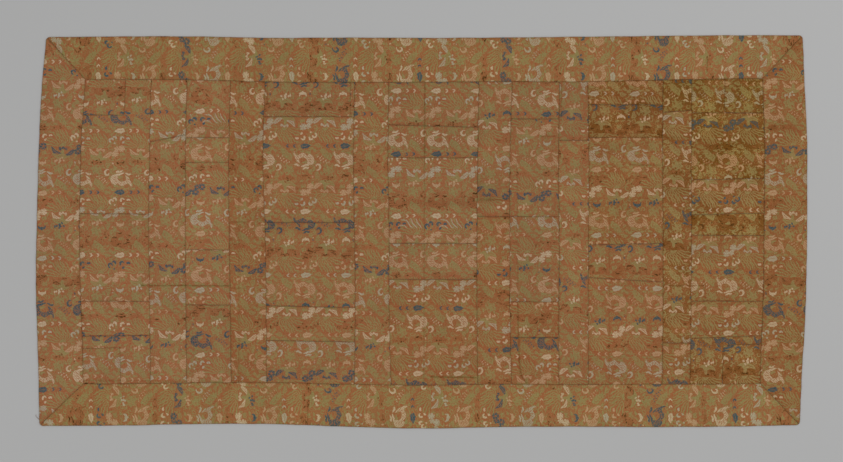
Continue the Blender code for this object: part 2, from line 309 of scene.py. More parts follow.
def drawRepeat():
    figures = []

    def add(row, shape):
        figures.append((row, shape))

    def blob(row, *points):
        add(row, blobShape(points))

    def ribbon(row, widths, *points, cuts=2):
        add(row, ribbonShape(points, widths, cuts))

    def rib(u, v, angle, steps, widths):
        # a short line outwards, where each step has its reach across and down and its turn
        line = [(u + a * math.cos(angle + bend), v + b * math.sin(angle + bend)) for a, b, bend in steps]
        add("quiet", ribbonShape(line, widths, 2))

    for cloud in clouds:
        add("olive", cloudShape(*cloud))
    add("olive", scallopShape(15.6, 41.4, 5.2, 5, 20, 0.85, 0.45))
    for u, v, size, turn, _ in clouds:
        if size > 3.4:
            add("quiet", curlShape(u, v, 0.34 * size, turn, 250, 0.5))
    for leaf in leaves:
        add("olive", leafShape(*leaf))
    for curl in curls:
        add("olive", curlShape(*curl))

    # the phoenix's tail, a fan of wavy rays that rise from its back and bend outwards, on plain ground
    blob("quiet", (20.2, 21.0), (9.0, 18.6), (1.0, 17.0), (0.4, 10.6), (7.4, 5.2), (11.0, 0.2),
         (16.0, -1.4), (21.6, -0.6), (26.0, 2.4), (29.6, 7.2), (29.2, 13.6), (26.0, 18.6))
    for k, ray in enumerate(tailRays):
        line = smoothPath(ray, False, 3)
        waved = []
        for j, (u, v) in enumerate(line):
            across, down = heading(line, j)
            side = chart["fanWave"] * math.sin(1.9 * j + 1.3 * k)
            waved.append((u - down * side, v + across * side))
        width = chart["rayWidth"]
        add("ray", ribbonShape(waved, (0.5 * width, 0.8 * width, width, 1.1 * width, 0.5 * width), 1))
    blob("ray", (16.6, 19.0), (18.4, 16.4), (20.4, 15.2), (22.6, 16.0), (24.0, 18.4), (20.4, 18.2))
    for tip in whiteTips:
        add("tip", ribbonShape(tip, (0.6, 1.2, 1.2, 1.1, 0.6), 2))

    # its body, wings and crown
    blob("olive", (9.8, 25.0), (13.2, 26.2), (16.4, 26.6), (18.4, 24.4), (20.8, 24.2), (22.6, 27.0),
         (27.8, 28.0), (24.4, 30.8), (19.4, 31.6), (14.6, 30.8), (11.4, 28.6))
    ribbon("quiet", (0.3, 0.5, 0.3), (12.4, 27.6), (15.6, 28.6), (19.4, 29.2))
    blob("wing", (9.3, 18.6), (11.2, 20.0), (13.2, 22.0), (16.2, 23.8), (18.8, 25.4), (17.0, 26.0),
         (13.6, 25.6), (10.9, 25.0), (10.3, 22.6), (9.6, 20.6))
    blob("wing", (31.4, 21.6), (31.0, 24.6), (29.6, 27.4), (26.6, 28.3), (23.2, 28.0), (23.4, 26.8),
         (25.8, 24.9), (28.2, 22.9))
    ribbon("quiet", (0.2, 0.45, 0.2), (29.6, 23.6), (27.6, 25.8), (25.0, 27.2))
    ribbon("quiet", (0.2, 0.45, 0.2), (11.0, 21.4), (12.6, 23.6), (15.4, 24.9))
    blob("wing", (16.6, 21.6), (16.4, 19.4), (17.8, 18.9), (18.9, 20.0), (20.2, 18.6), (21.7, 18.9),
         (22.6, 20.0), (24.4, 19.4), (24.8, 21.4), (23.6, 22.8), (22.4, 21.4), (20.8, 20.8), (19.2, 21.4),
         (18.2, 22.6))
    blob("olive", (18.8, 22.4), (19.8, 21.4), (21.2, 22.0), (21.4, 25.2), (18.6, 25.2))

    # the bud and its two marks
    blob("bud", (-5.9, 0.4), (-3.8, -1.0), (-2.1, -2.4), (0.4, -2.3), (1.8, -3.1), (3.6, -2.2), (4.2, -0.9),
         (4.7, 0.3), (3.8, 1.6), (2.2, 2.0), (1.2, 2.9), (-0.8, 2.4), (-2.6, 2.3), (-4.1, 1.2))
    ribbon("quiet", (0.15, 0.35, 0.2), (-3.4, 0.3), (-0.2, -0.2), (2.9, -0.4))
    for along in (0.0, 7.0):
        ribbon("bud", (0.5, 1.4, 1.6, 1.2, 0.4), (9.1 + along, -1.7), (10.7 + along, -1.3),
               (11.5 + along, -0.1), (10.7 + along, 0.9), (9.3 + along, 1.5), cuts=1)

    # tendrils under the bud
    ribbon("tendril", (1.2, 1.9, 1.7, 1.7, 1.0), (-11.2, 11.0), (-10.6, 9.4), (-9.0, 8.6), (-7.6, 9.4),
           (-7.2, 10.8))
    ribbon("tendril", (1.2, 1.8, 0.9), (-11.0, 10.8), (-10.6, 12.0), (-9.4, 12.9))
    ribbon("tendril", (1.0, 1.9, 2.2, 1.9, 0.8), (-7.4, 7.8), (-6.2, 6.6), (-4.9, 6.8), (-4.2, 8.2),
           (-4.2, 9.4))
    add("tendril", leafShape(-5.6, 13.5, 2.2, 1.6, -20))
    ribbon("tendril", (1.3, 2.1, 2.0, 1.5, 0.9), (1.0, 10.2), (0.5, 8.6), (1.1, 7.0), (2.8, 6.6),
           (4.2, 7.8))
    ribbon("tendril", (1.4, 2.2, 2.0, 0.8), (6.5, 8.4), (7.6, 7.7), (8.9, 7.6), (9.9, 8.6))
    blob("tendril", (2.0, 13.0), (3.0, 13.8), (4.4, 12.0), (4.2, 10.8), (3.0, 11.3), (2.2, 11.6))

    # the peony, three blooms that lean on each other, open in the middle
    blooms = ((-3.4, 19.4, 2.8, 5, 20), (-5.0, 24.3, 3.7, 7, 14), (1.4, 18.8, 3.7, 7, 40))
    for u, v, reach, petals, turn in blooms:
        add("peony", scallopShape(u, v, reach, petals, turn, 0.96))
        add("eye", scallopShape(u + 0.2, v, 0.34 * reach, 5, turn, 1.0, 0.3))
        bends = ((0.42, 0.0), (0.7, 0.3), (0.9, 0.1))
        steps = [(share * reach, share * reach, bend) for share, bend in bends]
        for spoke in range(5):
            rib(u, v, math.radians(spoke * 72 + turn), steps, (0.2, 0.5, 0.25))

    # the bowl and the spray of small clouds
    blob("spray", (-3.9, 32.4), (-2.8, 33.5), (-1.6, 34.3), (0.2, 34.0), (1.6, 34.3), (2.7, 33.4),
         (3.6, 32.3), (3.8, 34.2), (2.9, 36.2), (1.4, 36.6), (0.2, 37.9), (-1.2, 36.8), (-2.8, 36.4),
         (-4.0, 34.6))
    blob("spray", (11.6, 33.6), (12.2, 32.2), (13.6, 32.4), (14.4, 31.4), (15.2, 32.6), (14.8, 34.0),
         (13.4, 33.9), (13.0, 35.1), (12.0, 34.8))
    blob("spray", (15.8, 34.6), (16.4, 33.0), (15.9, 31.6), (17.0, 30.3), (18.4, 31.0), (18.0, 32.2),
         (19.2, 33.2), (18.0, 34.0), (17.6, 35.4), (16.3, 35.8))
    blob("spray", (18.6, 29.9), (19.2, 28.9), (20.2, 29.6), (20.6, 31.0), (19.5, 31.2))
    blob("spray", (19.9, 32.6), (21.0, 32.0), (22.2, 32.8), (22.0, 33.9), (20.7, 33.8))
    add("spray", leafShape(31.8, 30.8, 2.2, 1.2, 30))
    add("berry", leafShape(33.0, 34.8, 2.8, 1.5, 70))
    add("spray", leafShape(32.2, 37.3, 1.8, 1.0, -20))

    # the ring, with two tufts above it, and a hook beside it
    ribbon("ring", (0.4, 1.1, 1.6, 2.0, 2.1, 1.7, 1.2, 0.4), (29.0, 41.6), (27.3, 41.5), (25.5, 42.7),
           (24.7, 44.8), (25.6, 46.7), (27.3, 47.2), (28.7, 46.2), (28.5, 44.9))
    add("plume", blobShape(feather))
    blob("olive", (-1.6, 47.9), (1.2, 47.4), (3.4, 48.4), (1.0, 49.4), (-0.8, 50.8), (-2.0, 49.8))
    steps = ((4.8, 3.5, 0.0), (6.9, 5.1, 0.24), (8.6, 6.3, 0.3))
    for k in range(8):
        rib(1.4, 51.0, math.radians(186 - k * 27), steps, (0.2, 0.58, 0.25))
    ribbon("ring", (1.0, 1.9, 1.5, 1.7, 0.6), (-4.2, 43.9), (-2.6, 43.2), (-1.0, 43.9), (0.6, 42.9),
           (2.3, 41.9))
    ribbon("ring", (0.6, 1.8, 1.9, 1.6, 0.6), (-4.5, 47.1), (-3.2, 46.1), (-0.8, 46.2), (1.4, 45.0),
           (3.9, 44.5))
    ribbon("ring", (0.6, 1.7, 2.0, 1.8, 0.5), (5.0, 44.8), (6.6, 45.4), (8.2, 46.5), (9.6, 46.4),
           (10.9, 46.0))

    # berries beside the big cloud
    berries = ((16.0, 49.0, 0.9), (18.2, 48.4, 0.8), (18.9, 50.8, 1.1), (21.2, 49.5, 0.9), (23.6, 51.2, 1.0),
               (21.4, 52.6, 1.0), (24.6, 53.2, 1.0), (22.8, 55.2, 0.8), (26.6, 54.8, 0.9))
    for u, v, size in berries:
        add("berry", leafShape(u, v, 2.5 * size, 1.15 * size, -58))
    return figures


repeatFigures = [(row, np.array(shape)) for row, shape in drawRepeat()]
figureReach = [(*shape.min(axis=0), *shape.max(axis=0)) for row, shape in repeatFigures]
print("the chart has", len(repeatFigures), "figures")


# how each piece was cut from the cloth
# turn: 0 upright, 180 upside down, 90 lying with its head up the border
# bud: the middle of one bud, in millimetres; number: which of the six repeats it is
# pitch: length of the repeat on that piece in millimetres
def cut(across, down, number, tone="plain", turn=0, pitch=175.0, **more):
    return {"bud": (across, down), "number": number, "tone": tone, "turn": turn, "pitch": pitch, **more}


cutting = {
    "border_top": cut(-862, 415, 0, "moss", 90, pitch=171.6, skip=5),
    "border_bottom": cut(-883, -496, 0, "pale", 90, pitch=172.0, skip=5),
    "border_left": cut(-1013, 454, 0, "rosy"),
    "border_right": cut(938, 454, 0, "golden"),
    "strip_1_a": cut(-728, 320, 5, "faded", pitch=177.5),
    "strip_1_b": cut(-728, 142, 0, "rosy", pitch=177.5),
    "strip_2": cut(-418, 318, 5, "tan", pitch=177.5),
    "strip_3": cut(-182, 315, 5, "rust", pitch=177.5),
    "strip_4_a": cut(228, 222, 2, "dim", 180, pitch=178.5),
    "strip_4_b": cut(228, -136, 0, "tan", 180, pitch=178.5),
    "strip_5_a": cut(454, 248, 1, "dull", 180),
    "strip_5_b": cut(454, 75, 5, "rust", 180, pitch=171.0),
    "strip_6_a": cut(727, 403, 5, "deep", 180),
    "strip_6_b": cut(727, 240, 5, "dusky", 180, pitch=168.0),
    "strip_6_c": cut(688, -374, 4, "golden", 180),
    "square_top_left": cut(-900, 435, 3, "rosy"),
    "square_bottom_left": cut(-901, -386, 2, "rosy"),
    "square_top_right": cut(917, 221, 1, "deep", 180),
    "square_bottom_right": cut(917, -433, 3, "dusky", 180),
    "column_1_a": cut(-805, 270, 4, "faded", pitch=164.0),
    "column_1_b": cut(-805, -62, 0, "rosy"),
    "column_1_c": cut(-805, -225, 1, "rosy"),
    "column_1_d": cut(-801, -396, 2, "rosy"),
    "column_2_a": cut(-591, 323, 0, "rosy", whiteTips=True),
    "column_2_b": cut(-591, 171, 1, "light"),
    "column_2_c": cut(-591, 171, 1, "light"),
    "column_2_d": cut(-591, -155, 3, "rosy"),
    "column_2_e": cut(-591, -329, 4),
    "column_3_a": cut(-317, 275, 3, "dim", 180),
    "column_3_b": cut(-311, 230, 5, "rust", 180),
    "column_3_c": cut(-309, -115, 3, "rust", 180),
    "column_3_d": cut(-306, -275, 2, "rust", 180),
    "column_3_e": cut(-306, -443, 1, "rust", 180),
    "column_4_a": cut(-67, 377, 4, "dim"),
    "column_4_b": cut(40, 208, 5, "dim"),
    "column_4_c": cut(40, 43, 0, whiteTips=True),
    "column_4_d": cut(40, -115, 1),
    "column_4_e": cut(-9, -203, 5, "tan", 180),
    "column_5_a": cut(335, 315, 5, "dim"),
    "column_5_b": cut(335, 155, 1, "dim"),
    "column_5_c": cut(335, -8, 2, "dim"),
    "column_5_d": cut(335, -171, 3, "tan"),
    "column_5_e": cut(335, -334, 4, "tan"),
    "column_6_a": cut(463, 369, 3, "umber"),
    "column_6_b": cut(534, 214, 3, "umber", 180),
    "column_6_c": cut(469, 166, 2, "golden"),
    "column_6_d": cut(522, -163, 3, "tan", 180),
    "column_6_e": cut(522, -150, 3, "tan", 180),
    "column_7_a": cut(816, 224, 1, "deep", 180),
    "column_7_b": cut(819, 227, 1, "darkest", 180),
    "column_7_c": cut(819, 59, 0, "dusky", 180),
    "column_7_d": cut(819, -107, 5, "gilt", 180),
    "column_7_e": cut(819, -107, 5, "golden", 180),
    "column_7_f": cut(819, -270, 4, "golden", 180),
    "column_7_g": cut(813, -438, 3, "dusky", 180),
}

# each tone is a tint over the silk's own colours, and how far the ground has kept its brown dye
tones = {
    "plain": (0.98, 0.99, 1.0, 0.0),
    "rosy": (1.025, 1.03, 1.05, 0.0),
    "moss": (1.0, 1.03, 0.96, 0.05),
    "pale": (1.04, 1.08, 1.0, 0.05),
    "rust": (1.0, 0.99, 0.97, 0.05),
    "tan": (1.0, 0.95, 0.91, 0.18),
    "dim": (0.935, 0.94, 0.94, 0.05),
    "dull": (0.91, 0.91, 0.91, 0.05),
    "faded": (1.05, 1.08, 1.09, 0.0),
    "light": (1.07, 1.10, 1.12, 0.0),
    "golden": (0.98, 0.94, 0.87, 0.35),
    "dusky": (1.04, 0.98, 0.92, 0.75),
    "umber": (0.97, 0.87, 0.79, 0.85),
    "deep": (0.94, 0.89, 0.70, 1.0),
    "darkest": (1.0, 0.93, 0.77, 1.0),
    "gilt": (1.06, 1.02, 0.90, 0.9),
}

# creases and fold lines, in millimetres: both ends, half width, depth and how dark the painted shade along
# them is
creases = (
    ((-487, 398), (-488, -402), 2.2, 0.30, 0.16), ((9, 398), (8, 210), 2.8, 0.40, 0.40),
    ((8, 210), (6, -405), 2.4, 0.35, 0.24), ((255, 190), (257, -190), 2.2, 0.25, 0.18),
    ((257, -195), (261, -340), 2.6, 0.45, 0.36), ((261, -340), (266, -384), 3.0, 0.50, 0.42),
    ((266, -384), (280, -402), 3.0, 0.45, 0.36), ((502, 38), (501, -404), 2.2, 0.30, 0.18),
    ((754, -130), (756, -262), 2.2, 0.25, 0.22), ((756, -302), (757, -338), 2.2, 0.25, 0.25),
    ((-748, -143), (-511, -144), 2.4, 0.50, 0.46), ((-895, -397), (-726, -398), 2.0, 0.30, 0.30),
    ((-725, 94), (-632, 94), 2.2, 0.20, 0.14), ((-724, -214), (-632, -215), 2.2, 0.20, 0.14),
    ((-720, -398), (-632, -399), 2.0, 0.20, 0.24), ((-629, 278), (-513, 278), 2.2, 0.20, 0.16),
    ((-504, 254), (-424, 253), 2.2, 0.20, 0.14), ((-509, 27), (-470, 26), 2.0, 0.25, 0.30),
    ((-507, -150), (-470, -150), 2.0, 0.25, 0.30), ((-350, 115), (-182, 115), 2.2, 0.25, 0.20),
    ((-176, 278), (-92, 277), 2.2, 0.20, 0.16), ((-176, 218), (-92, 217), 2.2, 0.20, 0.16),
    ((-176, 88), (-92, 88), 2.2, 0.20, 0.16), ((26, -387), (146, -389), 2.6, 0.35, 0.48),
    ((152, 86), (234, 85), 2.4, 0.25, 0.26), ((320, 256), (364, 256), 2.2, 0.30, 0.34),
    ((556, 179), (638, 178), 2.2, 0.30, 0.34), ((648, 252), (718, 252), 2.2, 0.20, 0.20),
    ((646, -144), (757, -144), 2.4, 0.35, 0.36), ((-412, 398), (-413, 345), 1.6, 0.25, 0.36),
    ((-190, 398), (-190, 314), 1.6, 0.25, 0.36), ((374, 398), (373, 300), 1.6, 0.25, 0.30),
    ((763, 465), (763, 428), 1.8, 0.25, 0.45), ((-304, -450), (-304, -502), 1.8, 0.20, 0.34),
    ((757, -449), (757, -516), 1.8, 0.20, 0.24),
)

# soft stains and rotted rows, in millimetres: middle, half sizes and depth of colour
stains = (
    ("strip_6_b", (682, 130), (80, 160), 0.08), ("strip_3", (-134, 360), (60, 90), 0.08),
    ("column_4_c", (32, 78), (120, 9), 0.14), ("strip_4_a", (195, 88), (44, 8), 0.16),
    ("column_6_c", (545, 226), (95, 16), 0.08), ("column_7_b", (815, 226), (95, 22), 0.10),
    ("column_7_d", (815, 22), (95, 14), 0.04), ("column_7_g", (800, -380), (90, 20), 0.01),
    ("column_1_b", (-815, -30), (90, 12), 0.10), ("column_3_c", (-300, 8), (120, 9), 0.10),
    ("column_2_e", (-570, -225), (60, 14), 0.04), ("column_6_d", (545, -112), (95, 14), 0.04),
    ("border_right", (975, 282), (50, 22), 0.10), ("border_left", (-965, -140), (60, 30), 0.07),
    ("column_1_a", (-800, 366), (70, 30), 0.05), ("square_top_left", (-850, 366), (70, 30), 0.05),
    ("strip_2", (-470, -330), (60, 70), 0.05), ("column_6_e", (471, -275), (20, 120), -0.05),
)

sheetForm = {
    "snap": 50,               # steps to a millimetre, where points of the solid are matched
    "uprightSide": 0.2,       # a side whose normal rises less than this is upright
    "lowRim": 0.8,            # millimetres: the rim under this is the lower one
    "closeGap": 0.25,         # millimetres added all round, so that neighbours meet
    "edgeStep": 5.0,
    "gridStep": 12.0,
    "shortEdge": 0.9,
    "rimClear": 1.5,          # inner points keep this far from the turned edge
    "weld": 0.004,            # points nearer than this are one
    "creaseStep": 6.0,
    "creaseRows": (-1.4, -0.6, 0.0, 0.6, 1.4),
    "sharpAngle": 50,         # degrees
    "rimDepths": (0.7, 1.7),  # rows of points that round the turned edge
    "rollWidth": 1.7,
    "edgeDrop": 0.9,
    # how dark each kind of piece is along its seams: partly painted shade of the turned edges, partly grime
    # and dark thread
    "seamDark": {"border": 0.21, "strip": 0.14, "square": 0.14, "column": 0.14},
    "shadeAndStainTint": (0.85, 1.0, 1.35),  # darker seams, painted crease shade and stains are brown: they take most from the blue
    "creaseShadeReach": 0.7,         # how wide and how dark the painted shade along a crease is
    "creaseShadeDark": 1.35,
    "seamWidth": 1.3,
    # slightly darker for some millimetres in from each seam
    "rimDimWidth": 7.0,
    "rimDim": 0.06,
    "puckerDepth": 0.22,
    "puckerReach": 14,        # millimetres in from the seam
    "rippleDepth": 0.18,
    "faceDrop": 0.2,          # how far the face lies under the thickness of its solid
    "sway": 0.5,              # how far seams wander, in millimetres
    "motifSway": 1.5,         # how far the woven figures wander
    "motifFray": 0.45,        # and how uneven their edges are
    "sideShade": 0.9,
    "shift": (3.7, 0.31),     # keeps the specks of each piece apart from those of the next
}
# unevenness: the lengths of its waves in millimetres, and a seed
uneven = {
    "ripple": (150, 1), "pucker": (34, 2), "creaseShadeVary": (23, 6), "stain": (60, 7), "fade": (260, 8),
    "dye": (140, 13), "motif": (120, 95, 3), "sway": (70, 83, 9), "fray": (9, 11, 11),
}
thicknesses = {"border": 2.6, "strip": 2.2, "square": 2.0, "column": 1.7}
silkOrder = ("ground", "olive", "cream", "white", "salmon", "blue", "perished", "underside")


def wander(x, y, wave, seed):
    # smooth and repeatable unevenness between about -1 and 1
    a = np.sin(2 * np.pi * (x * 0.83 + y * 0.55) / wave + seed * 1.7)
    b = np.sin(2 * np.pi * (x * -0.47 + y * 0.91) / (wave * 0.77) + seed * 2.9)
    c = np.sin(2 * np.pi * (x * 0.21 - y * 1.07) / (wave * 0.59) + seed * 4.3 + a)
    return (a + b + 0.8 * c) / 2.8


def drift(points, reach, waveA, waveB, seed):
    # how far each point wanders, across and down
    x, y = points[:, 0], points[:, 1]
    return reach * np.column_stack([wander(x, y, waveA, seed), wander(x, y, waveB, seed + 1)])


def followRound(following):
    # the loop from a table that says which point follows each
    loop = [next(iter(following))]
    while following[loop[-1]] != loop[0]:
        loop.append(following[loop[-1]])
    return loop


def readOutline(node):
    # the node's lower rim, where its upright sides begin, as one loop of points in millimetres
    mesh = node.data
    snap = sheetForm["snap"]
    places = {}
    ids = []
    for vert in mesh.vertices:
        key = tuple(round(c / mm * snap) for c in vert.co)
        ids.append(places.setdefault(key, len(places)))
    spots = {i: tuple(c / snap for c in key) for key, i in places.items()}
    shared = {}
    for face in mesh.polygons:
        corners = [ids[v] for v in face.vertices]
        for a, b in zip(corners, corners[1:] + corners[:1]):
            upright = abs(face.normal.z) < sheetForm["uprightSide"]
            shared.setdefault((min(a, b), max(a, b)), []).append((upright, a, b))
    following = {}
    for sides in shared.values():
        walls = [s for s in sides if s[0]]
        if len(walls) != 1 or len(sides) != 2:
            continue
        _, a, b = walls[0]
        if max(spots[a][2], spots[b][2]) < sheetForm["lowRim"]:
            following[a] = b
    loop = [np.array(spots[i][:2]) for i in followRound(following)]
    area = sum(a[0] * b[1] - a[1] * b[0] for a, b in zip(loop, loop[1:] + loop[:1]))
    return loop if area > 0 else loop[::-1]


def offsetLoop(loop, distance):
    # moves a loop outwards, or inwards where distance is negative
    moved = []
    for i, here in enumerate(loop):
        before = here - loop[i - 1]
        after = loop[(i + 1) % len(loop)] - here
        before = before / np.linalg.norm(before)
        after = after / np.linalg.norm(after)
        outA = np.array((before[1], -before[0]))
        outB = np.array((after[1], -after[0]))
        moved.append(here + (outA + outB) * distance / max(0.4, 1 + outA @ outB))
    return moved


def loopArea(loop):
    x, y = loop[:, 0], loop[:, 1]
    return 0.5 * float(np.sum(x * np.roll(y, -1) - np.roll(x, -1) * y))


def dropShort(loop, least):
    kept = [loop[0]]
    for point in loop[1:]:
        if np.linalg.norm(point - kept[-1]) > least:
            kept.append(point)
    if np.linalg.norm(kept[0] - kept[-1]) <= least:
        kept.pop()
    return kept


def stepLoop(loop, step):
    points = []
    for a, b in zip(loop, loop[1:] + loop[:1]):
        count = max(1, round(np.linalg.norm(b - a) / step))
        points += [a + (b - a) * k / count for k in range(count)]
    return np.array(points)


def insideLoop(points, loop):
    inside = np.zeros(len(points), bool)
    for a, b in zip(loop, np.roll(loop, -1, axis=0)):
        crosses = (a[1] > points[:, 1]) != (b[1] > points[:, 1])
        if a[1] != b[1]:
            at = a[0] + (points[:, 1] - a[1]) * (b[0] - a[0]) / (b[1] - a[1])
            inside ^= crosses & (points[:, 0] < at)
    return inside


def lineDistance(points, a, b):
    a, b = np.array(a, float), np.array(b, float)
    along = b - a
    t = np.clip(((points - a) @ along) / max(along @ along, 1e-12), 0, 1)
    gap = points - (a + t[:, None] * along)
    return np.hypot(gap[:, 0], gap[:, 1])


def loopDistance(points, loop):
    return np.min([lineDistance(points, a, b) for a, b in zip(loop, np.roll(loop, -1, axis=0))], axis=0)


def faceHeight(points, kind, rim):
    # height of the face over the surface, in millimetres
    x, y = points[:, 0], points[:, 1]
    height = np.full(len(points), thicknesses[kind] - sheetForm["faceDrop"])
    height += sheetForm["rippleDepth"] * wander(x, y, *uneven["ripple"])
    puckers = np.exp(-rim / sheetForm["puckerReach"])
    height += sheetForm["puckerDepth"] * wander(x, y, *uneven["pucker"]) * puckers
    for start, end, half, depth, _ in creases:
        height -= depth * np.exp(-(lineDistance(points, start, end) / half) ** 2)
    roll = np.clip(rim / sheetForm["rollWidth"], 0, 1)
    roll = np.sqrt(1 - (1 - roll) ** 2)
    return height - sheetForm["edgeDrop"] * (1 - roll)


def faceCast(points, name, rim):
    # the tint of the face at each point, from the piece's tone, darker seams, painted shade along creases,
    # and stains
    x, y = points[:, 0], points[:, 1]
    tone = np.array(tones[cutting[name]["tone"]][:3])
    # darker along each seam: partly painted shade of the turned edges, partly grime and dark thread in the
    # seam
    seamDark = sheetForm["seamDark"][name.split("_")[0]]
    shade = 1 - seamDark * np.exp(-(rim / sheetForm["seamWidth"]) ** 2)
    # slightly darker for some millimetres in from each seam
    shade *= 1 - sheetForm["rimDim"] * np.exp(-rim / sheetForm["rimDimWidth"])
    # painted shade along each crease, a little uneven
    creaseShadeVary = 0.75 + 0.25 * wander(x, y, *uneven["creaseShadeVary"])
    for start, end, half, _, dark in creases:
        gap = lineDistance(points, start, end) / (sheetForm["creaseShadeReach"] * half)
        shade *= 1 - sheetForm["creaseShadeDark"] * dark * creaseShadeVary * np.exp(-gap ** 2)
    for node, middle, size, dark in stains:
        if node == name:
            reach = ((x - middle[0]) / size[0]) ** 4 + ((y - middle[1]) / size[1]) ** 2
            shade *= 1 - dark * np.exp(-reach) * (0.8 + 0.3 * wander(x, y, *uneven["stain"]))
    shadeAndStainTint = 1 - (1 - shade[:, None]) * np.array(sheetForm["shadeAndStainTint"])
    return tone * shadeAndStainTint * (1 + 0.025 * wander(x, y, *uneven["fade"]))[:, None]


# for each turn, the way from the mantle to the cloth; each is also its own way back
turns = {
    0: np.array(((1, 0), (0, -1))),
    90: np.array(((0, 1), (1, 0))),
    180: np.array(((-1, 0), (0, 1))),
}


def clothPlace(points, plan):
    # where a point of the piece lies in the chart, in steps from its bud
    turned = (points - plan["bud"]) @ turns[plan["turn"]]
    return turned[:, 0] * mm / chart["step"], turned[:, 1] * chart["length"] / plan["pitch"]


def facePlace(u, v, plan):
    # the other way round: from steps in the chart to millimetres on the mantle
    turned = np.stack([u * chart["step"] / mm, v * plan["pitch"] / chart["length"]], axis=1)
    return plan["bud"] + turned @ turns[plan["turn"]]


def threadFor(row, cell, plan):
    row = sameBobbin.get(row, row)
    if row not in threadOrder:
        return groundRows.get(row, row)
    number = plan["number"] + cell
    skip = plan.get("skip")
    if skip is not None and (cell > skip or (cell == skip and row in lowerRows)):
        number += 1
    return threadOrder[row][number % 6]


def placedFigures(plan, lowest, highest):
    corners = np.array([(x, y) for x in (lowest[0], highest[0]) for y in (lowest[1], highest[1])])
    us, vs = clothPlace(corners, plan)
    rows = []
    shapes = []
    for m in range(math.floor(us.min() / chart["width"]) - 1, math.ceil(us.max() / chart["width"]) + 1):
        for n in range(math.floor(vs.min() / chart["length"]) - 1, math.ceil(vs.max() / chart["length"]) + 1):
            du = m * chart["width"]
            dv = n * chart["length"]
            for (row, shape), reach in zip(repeatFigures, figureReach):
                if reach[0] + du > us.max() or reach[2] + du < us.min():
                    continue
                if reach[1] + dv > vs.max() or reach[3] + dv < vs.min():
                    continue
                if row == "tip" and not (plan.get("whiteTips") and (plan["number"] + n) % 6 == 0):
                    continue
                if row == "eye" and threadFor("peony", n, plan) != "blue":
                    continue
                rows.append((threadFor(row, n, plan), openness[row]))
                shapes.append(shape + (du, dv))
    joined = np.concatenate(shapes)
    placed = facePlace(joined[:, 0], joined[:, 1], plan)
    fray = drift(placed, sheetForm["motifFray"], *uneven["fray"])
    placed = placed + drift(placed, sheetForm["motifSway"], *uneven["motif"]) + fray
    ends = np.cumsum([len(shape) for shape in shapes])[:-1]
    return rows, [shape if loopArea(shape) > 0 else shape[::-1] for shape in np.split(placed, ends)]


